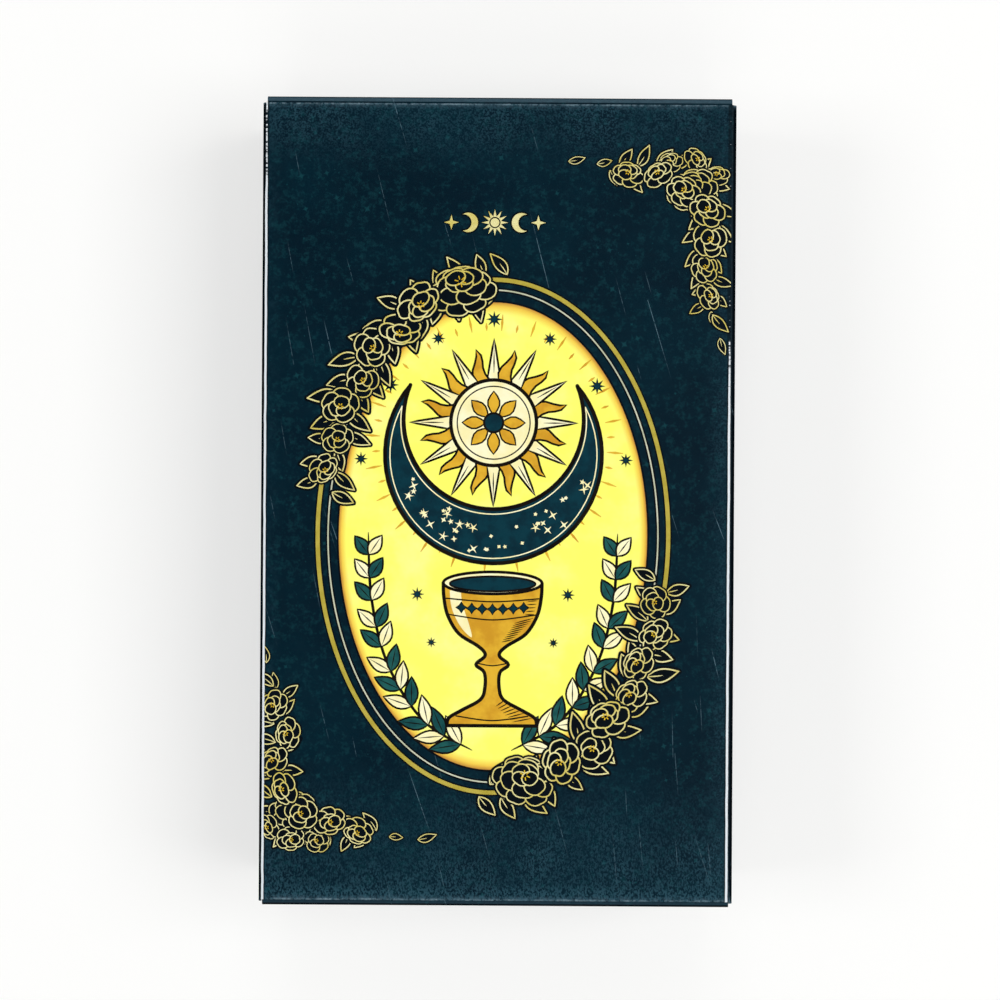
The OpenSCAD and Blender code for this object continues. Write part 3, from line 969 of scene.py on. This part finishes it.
CORNER_FLOWERS = smooth([(19.8, 50.9), (25.0, 49.9), (29.6, 47.2), (32.8, 41.8), (31.2, 37.0),
                         (32.6, 31.8)])
CORNER_BACK = smooth([(26.2, 52.4), (30.6, 52.4), (33.5, 50.4)])
CORNER_LEAVES = smooth([(17.0, 51.4), (20.4, 51.2), (26.0, 51.2), (31.2, 49.4), (32.9, 44.4), (31.9, 39.4),
                        (32.6, 33.4), (32.2, 29.0)])
CORNER_GREAT = [(29.8, 48.0), (30.8, 48.0)]
LEVEL_TIPS = ([(10.6, 52.4), (9.2, 52.6)], [(15.0, 52.0), (13.6, 52.2)])
FALLING_TIPS = ([(34.1, 25.3), (34.1, 24.0)], [(32.7, 29.4), (32.7, 28.0)])
GARLAND = ring_run(115, 165)
GARLAND_GREAT = ring_run(101, 104, (26.0, 38.4))
GARLAND_LEAVES = ring_run(86, 170)

LEAF_RUN = dict(Peak_Place=0.5, Peak_Width=0.4, Free_Turn=0.25, Lift=0.000004)
TIP_RUN = dict(LEAF_RUN, Count=1, End_Size=0.75, Peak_Size=0.75, Wander=0.0, Seed=7)
FLOWER_RUN = dict(Peak_Place=0.5, Peak_Width=0.4, Wander=0.0, Splay=0.0, Free_Turn=0.9, Lift=0.00003)
SPRAYS = (
    ([CORNER_LEAVES, opposite(CORNER_LEAVES)], LEAF_HEIGHT, LEAVES,
     dict(LEAF_RUN, Count=26, End_Size=0.85, Peak_Size=1.15, Wander=0.0008, Splay=0.95, Seed=4)),
    (list(LEVEL_TIPS) + [opposite(tip) for tip in LEVEL_TIPS], LEAF_HEIGHT, LEAVES,
     dict(TIP_RUN, Splay=0.0)),
    *[([tip], LEAF_HEIGHT, LEAVES, dict(TIP_RUN, Splay=1.5)) for tip in FALLING_TIPS],
    *[([opposite(tip)], LEAF_HEIGHT, LEAVES, dict(TIP_RUN, Splay=-1.5)) for tip in FALLING_TIPS],
    ([GARLAND_LEAVES, opposite(GARLAND_LEAVES, OVAL_Y)], LEAF_HEIGHT, LEAVES,
     dict(LEAF_RUN, Count=30, End_Size=1.05, Peak_Size=1.35, Wander=0.0016, Splay=1.1, Seed=9)),
    ([CORNER_BACK, opposite(CORNER_BACK)], FLOWER_HEIGHT, FLOWERS,
     dict(FLOWER_RUN, Count=3, End_Size=0.72, Peak_Size=0.78, Wander=0.0002, Seed=1)),
    ([CORNER_FLOWERS, opposite(CORNER_FLOWERS)], FLOWER_HEIGHT, FLOWERS,
     dict(FLOWER_RUN, Count=7, End_Size=0.80, Peak_Size=0.95, Peak_Place=0.55, Wander=0.0006, Seed=2)),
    ([CORNER_GREAT, opposite(CORNER_GREAT)], FLOWER_HEIGHT, GREAT_FLOWERS,
     dict(FLOWER_RUN, Count=1, End_Size=0.84, Peak_Size=0.84, Seed=3)),
    ([GARLAND, opposite(GARLAND, OVAL_Y)], FLOWER_HEIGHT, FLOWERS,
     dict(FLOWER_RUN, Count=7, End_Size=0.92, Peak_Size=1.22, Peak_Place=0.1, Wander=0.0009, Seed=6)),
    ([GARLAND_GREAT, opposite(GARLAND_GREAT, OVAL_Y)], FLOWER_HEIGHT, GREAT_FLOWERS,
     dict(FLOWER_RUN, Count=1, End_Size=1.12, Peak_Size=1.12, Seed=8)),
)
for shade in ("dark", "gold", "amber"):
    parts = [grafted(routes, PANEL_TOP + height, motifs[shade], INKS[shade], **sizes)
             for routes, height, motifs, sizes in SPRAYS]
    print_name = f"flower_{shade}_print"
    piece(print_name, trimmed(joined(print_name, parts), FOLD_LINE), INKS[shade])


# The oval with its rings and emblem

def press(name, plate, middle_y):
    """Prints a plate on the front panel, with a film for each ink."""
    points, regions = plate.sheets()
    for ink_name, material in INKS.items():
        if ink_name in regions:
            mesh = film(f"{name}_{ink_name}_print", points, regions[ink_name], PANEL_TOP + INK_BASE,
                        PANEL_TOP + INK_FILM, (ART_X, middle_y))
            piece(mesh.name, mesh, material)


def band(plate, ink_name, size, width):
    plate.stroke(ink_name, oval((0.0, 0.0), size, 160), width, closed=True)


def pod(start, length, half_width, steps, skew=1.0):
    """A lens-shaped leaf along x."""
    edge = [(start + length * t, half_width * math.sin(math.pi * t ** skew)) for t in steps]
    return edge + [(x, -y) for x, y in edge[-2:0:-1]]


def hatch(plate, starts, ends, count, width):
    """Tapered black strokes that go from one line to another, side by side."""
    for index in range(count):
        t = index / (count - 1)
        first = Vector(starts[0]).lerp(Vector(starts[1]), t)
        last = Vector(ends[0]).lerp(Vector(ends[1]), t)
        plate.stroke("black", [tuple(first.lerp(last, k / 5)) for k in range(6)], width, taper=0.45)


def sun_and_moon():
    """A sun in a crescent of night sky."""
    plate = Plate()
    draw = random.Random(21)
    sun = (0.0, 15.5)
    for index in range(48):
        angle = TURN * (index + 0.5) / 48
        near, far = 15.9, 17.0 + 1.2 * (index % 2)
        ray = [(reach, 0.0) for reach in (near, (near + far) / 2, far)]
        plate.stroke("ochre", turned(ray, angle, (sun[0], sun[1] - 3.0)), 0.35, taper=0.5)

    moon = crescent((0.0, 11.0), 15.2, (0.0, 16.0), 12.6)
    plate.outlined("teal", moon, 0.55)
    plate.stroke("pale", crescent((0.0, 11.0), 14.5, (0.0, 15.7), 13.0), 0.16, closed=True)
    for _ in range(46):
        angle = draw.uniform(math.radians(196), math.radians(344))
        reach = draw.uniform(9.8, 14.0)
        spot = oval_spot((0.0, 11.0), (reach, reach), angle)
        if math.hypot(spot[0], spot[1] - 16.0) > 13.6:
            size = draw.choice((0.3, 0.45, 0.75))
            plate.fill("pale", star(spot, size, 0.18, draw.choice((4, 5)), draw.uniform(0, 1)))

    for index in range(24):
        angle = TURN * index / 24 + TURN / 4
        if index % 2:
            spine = [(6.0 + 0.9 * k, 0.34 * math.sin(k * 1.15)) for k in range(6)]
            widths = (0.95, 0.9, 0.75, 0.55, 0.33, 0.0)
        else:
            spine = [(6.0 + 1.15 * k, 0.0) for k in range(6)]
            widths = (0.9, 0.76, 0.58, 0.39, 0.2, 0.0)
        outline = [(x, y + w) for (x, y), w in zip(spine, widths)]
        outline += [(x, y - w) for (x, y), w in zip(spine[-2::-1], widths[-2::-1])]
        plate.outlined("ochre" if index % 2 else "pale", turned(outline, angle, sun), 0.3)
        if not index % 2:
            plate.stroke("black", turned([(7.0, 0.0), (8.5, 0.0), (10.2, 0.0)], angle, sun), 0.2, taper=0.5)
    plate.outlined("pale", oval(sun, (6.0, 6.0), 60), 0.5)
    plate.stroke("black", oval(sun, (5.1, 5.1), 60), 0.18, closed=True)
    for index in range(8):
        petal = pod(1.1, 3.3, 0.85, (0, 0.2, 0.4, 0.6, 0.8, 1.0))
        plate.outlined("ochre", turned(petal, TURN * index / 8, sun), 0.24)
    plate.outlined("teal", oval(sun, (1.35, 1.35), 24), 0.3)
    return plate


LAUREL_STEM = ((3.0, -33.0), (10.5, -28.5), (16.0, -20.0), (18.6, -10.0), (19.2, 0.5))
CUP_PROFILE = ((7.6, -7.2), (7.5, -9.4), (6.9, -12.2), (5.2, -15.0), (2.4, -16.8), (1.25, -17.8),
               (1.2, -18.6), (2.5, -19.8), (1.2, -21.0), (1.1, -23.4), (1.8, -25.2), (4.6, -26.8),
               (6.6, -28.0), (6.9, -29.2))
CUP_SHINE = ((-6.6, -8.4), (-6.3, -11.0), (-5.0, -13.8), (-3.2, -15.6), (-3.6, -13.6), (-4.6, -10.6),
             (-4.9, -8.4))
# Stars of the right half: x, y and reach
EMBLEM_STARS = ((0.0, 33.4, 1.2), (8.6, 30.4, 1.0), (15.9, 23.2, 1.2), (20.4, 11.8, 1.0), (11.6, -9.0, 1.0),
                (9.4, -16.4, 0.7))


def emblem(plate):
    """The sun and moon over a cup, between two laurel branches."""
    plate.stamp(sun_and_moon(), 1.1, (0.0, -4.2))
    for side in (-1, 1):
        stem = smooth([(side * x, y) for x, y in LAUREL_STEM], 10)
        plate.stroke("black", stem, 0.45, taper=0.15)
        for number in range(11):
            spot = Vector(stem[3 + int(number * (len(stem) - 5) / 10.6)])
            ahead = Vector(stem[min(len(stem) - 1, 4 + int(number * (len(stem) - 5) / 10.6))])
            heading = math.atan2(ahead.y - spot.y, ahead.x - spot.x)
            for splay in (0.62, -0.62):
                length = 5.0 - 0.14 * number
                blade = pod(0.0, length, 1.0, (0, 0.15, 0.3, 0.45, 0.6, 0.75, 0.9, 1), 0.85)
                rib = [(0.3, 0.0), (length * 0.45, 0.0), (length * 0.85, 0.0)]
                shade = "laurel" if (number + (splay > 0)) % 2 else "pale"
                plate.outlined(shade, turned(blade, heading + splay, spot), 0.3)
                plate.stroke("black", turned(rib, heading + splay, spot), 0.2, taper=0.4)

    profile = smooth(CUP_PROFILE, 5)
    cup = profile + [(-x, y) for x, y in reversed(profile)]
    plate.outlined("ochre", cup, 0.55)
    plate.fill("pale", smooth(CUP_SHINE, 5))
    plate.outlined("pale", oval((0.0, -7.2), (7.6, 1.7), 48), 0.45)
    plate.outlined("teal", oval((0.0, -7.35), (6.6, 1.15), 48), 0.3)
    for number in range(7):
        place = (-4.8 + 1.6 * number, -11.0 - 0.25 * (1 - (number - 3) ** 2 / 9))
        plate.outlined("teal", star(place, 0.85, 0.45, 4), 0.18)
    plate.stroke("black", smooth([(-7.2, -9.6), (0.0, -10.1), (7.2, -9.6)]), 0.22)
    plate.stroke("black", smooth([(-6.7, -12.1), (0.0, -12.9), (6.7, -12.1)]), 0.22)
    hatch(plate, [(6.3, -12.6), (3.2, -15.9)], [(3.4, -13.4), (1.4, -16.3)], 9, 0.2)
    hatch(plate, [(6.9, -9.9), (6.4, -12.0)], [(5.4, -10.0), (5.0, -12.1)], 5, 0.18)
    hatch(plate, [(1.9, -25.3), (6.2, -28.0)], [(0.6, -26.2), (3.2, -28.6)], 8, 0.2)
    plate.stroke("black", smooth([(-2.2, -19.6), (0.0, -19.95), (2.2, -19.6)]), 0.2)
    plate.stroke("black", smooth([(-5.6, -27.7), (0.0, -28.4), (5.6, -27.7)]), 0.22)

    for x, y, reach in EMBLEM_STARS:
        for side in (-1, 1) if x else (1,):
            plate.outlined("teal", star((side * x, y), reach, reach * 0.36, 8), 0.2)


def print_oval():
    plate = Plate()
    for size, width in ((GOLD_RING_SIZE, 1.1), (CREAM_LINE_SIZE, 0.72), (FIELD_SIZE, 0.6)):
        band(plate, "dark", size, width)
    band(plate, "ring", GOLD_RING_SIZE, 0.64)
    band(plate, "cream", CREAM_LINE_SIZE, 0.22)
    plate.fill("field", oval((0.0, 0.0), FIELD_SIZE, 160))
    emblem(plate)
    press("oval", plate, OVAL_Y)


print_oval()


def print_ornaments():
    """A small row of a sun, two moons and two stars above the oval."""
    plate = Plate()
    shapes = [star((0.0, 0.0), 2.05, 0.95, 12)]
    for side in (-1, 1):
        moon = crescent((0.0, 0.0), 1.5, (0.0, 0.75), 1.25, 24)
        shapes.append(turned(moon, -side * math.radians(90), (side * 4.1, 0.0)))
        shapes.append(star((side * 6.7, 0.0), 1.15, 0.36, 4))
    for outline in shapes:
        plate.stroke("dark", outline, 0.5, closed=True)
    for outline in shapes:
        plate.fill("gold", outline)
    plate.stroke("dark", oval((0.0, 0.0), (0.78, 0.78), 24), 0.2, closed=True)
    press("ornament", plate, ORNAMENT_Y)


print_ornaments()

for kit in (FLOWERS, GREAT_FLOWERS, LEAVES):
    for collection in kit.values():
        for motif in list(collection.objects):
            bpy.data.objects.remove(motif)
        bpy.data.collections.remove(collection)


# Studio

# The floor's reach and level in metres, and the share of its white that is plain backdrop
FLOOR_HALF = 4
FLOOR_LEVEL = -0.0002
FLOOR_GLOW = 0.55


def seen_rays(tree):
    """One where the camera looks, also by a reflection or through glass."""
    ray = put(tree, "ShaderNodeLightPath")
    return any_of(*[out(ray, f"Is {kind} Ray") for kind in ("Camera", "Glossy", "Transmission")])


def studio_floor():
    material = bpy.data.materials.new("white floor")
    tree = empty_tree(material)
    paper = put(tree, "ShaderNodeBsdfDiffuse", Color=(0.98, 0.98, 0.955, 1.0))
    glow = put(tree, "ShaderNodeEmission", Color=(1.0, 1.0, 1.0, 1.0), Strength=1.0)
    both = put(tree, "ShaderNodeMixShader", Fac=seen_rays(tree) * FLOOR_GLOW)
    plug(out(paper), both.inputs[1])
    plug(out(glow), both.inputs[2])
    put(tree, "ShaderNodeOutputMaterial", Surface=out(both))
    mesh = bpy.data.meshes.new("floor")
    quarters = ((-1, -1), (1, -1), (1, 1), (-1, 1))
    corners = [(x * FLOOR_HALF, y * FLOOR_HALF, FLOOR_LEVEL) for x, y in quarters]
    mesh.from_pydata(corners, [], [(0, 1, 2, 3)])
    mesh.materials.append(material)
    put_in_scene("floor", mesh)


def soft_light(name, place, size, power):
    lamp = bpy.data.lights.new(name, "AREA")
    lamp.size = size
    lamp.energy = power
    made = put_in_scene(name, lamp)
    made.location = place
    made.rotation_euler = (-Vector(place)).to_track_quat("-Z", "Y").to_euler()


def studio_sky():
    """A pale room that is darker straight overhead."""
    world = bpy.data.worlds.new("studio")
    tree = empty_tree(world)
    _, along, height = axes(out(put(tree, "ShaderNodeTexCoord"), "Generated"))
    ends = ramp(abs(along), 0.2, 0.9, 0.36, 0.72)
    level = ramp(height, 0.45, 0.85, 1.0, 0.06) * any_of(seen_rays(tree), ends)
    glow = put(tree, "ShaderNodeBackground", Color=(1.0, 1.0, 1.0, 1.0), Strength=level)
    put(tree, "ShaderNodeOutputWorld", Surface=out(glow))
    bpy.context.scene.world = world


def studio_camera():
    view_width = 0.1540
    lens = 85.0
    sensor = 36.0
    aim = (0.00037, 0.00018)
    roll = math.radians(0.36)
    camera = bpy.data.cameras.new("camera")
    camera.lens = lens
    camera.sensor_width = sensor
    camera.clip_start = 0.01
    made = put_in_scene("camera", camera)
    made.location = (*aim, PANEL_TOP * MM + view_width * lens / sensor)
    made.rotation_euler = (0.0, 0.0, roll)
    bpy.context.scene.camera = made


studio_floor()
studio_sky()
soft_light("right key", (0.92, 0.0, 1.54), 0.96, 17.4)
soft_light("left fill", (-1.18, 0.0, 1.36), 0.56, 8.0)
soft_light("lower sheen", (0.0, -0.84, 1.32), 0.60, 2.7)
soft_light("upper fill", (0.0, 1.05, 1.30), 0.60, 2.8)
studio_camera()
bpy.context.scene.view_settings.view_transform = "Standard"
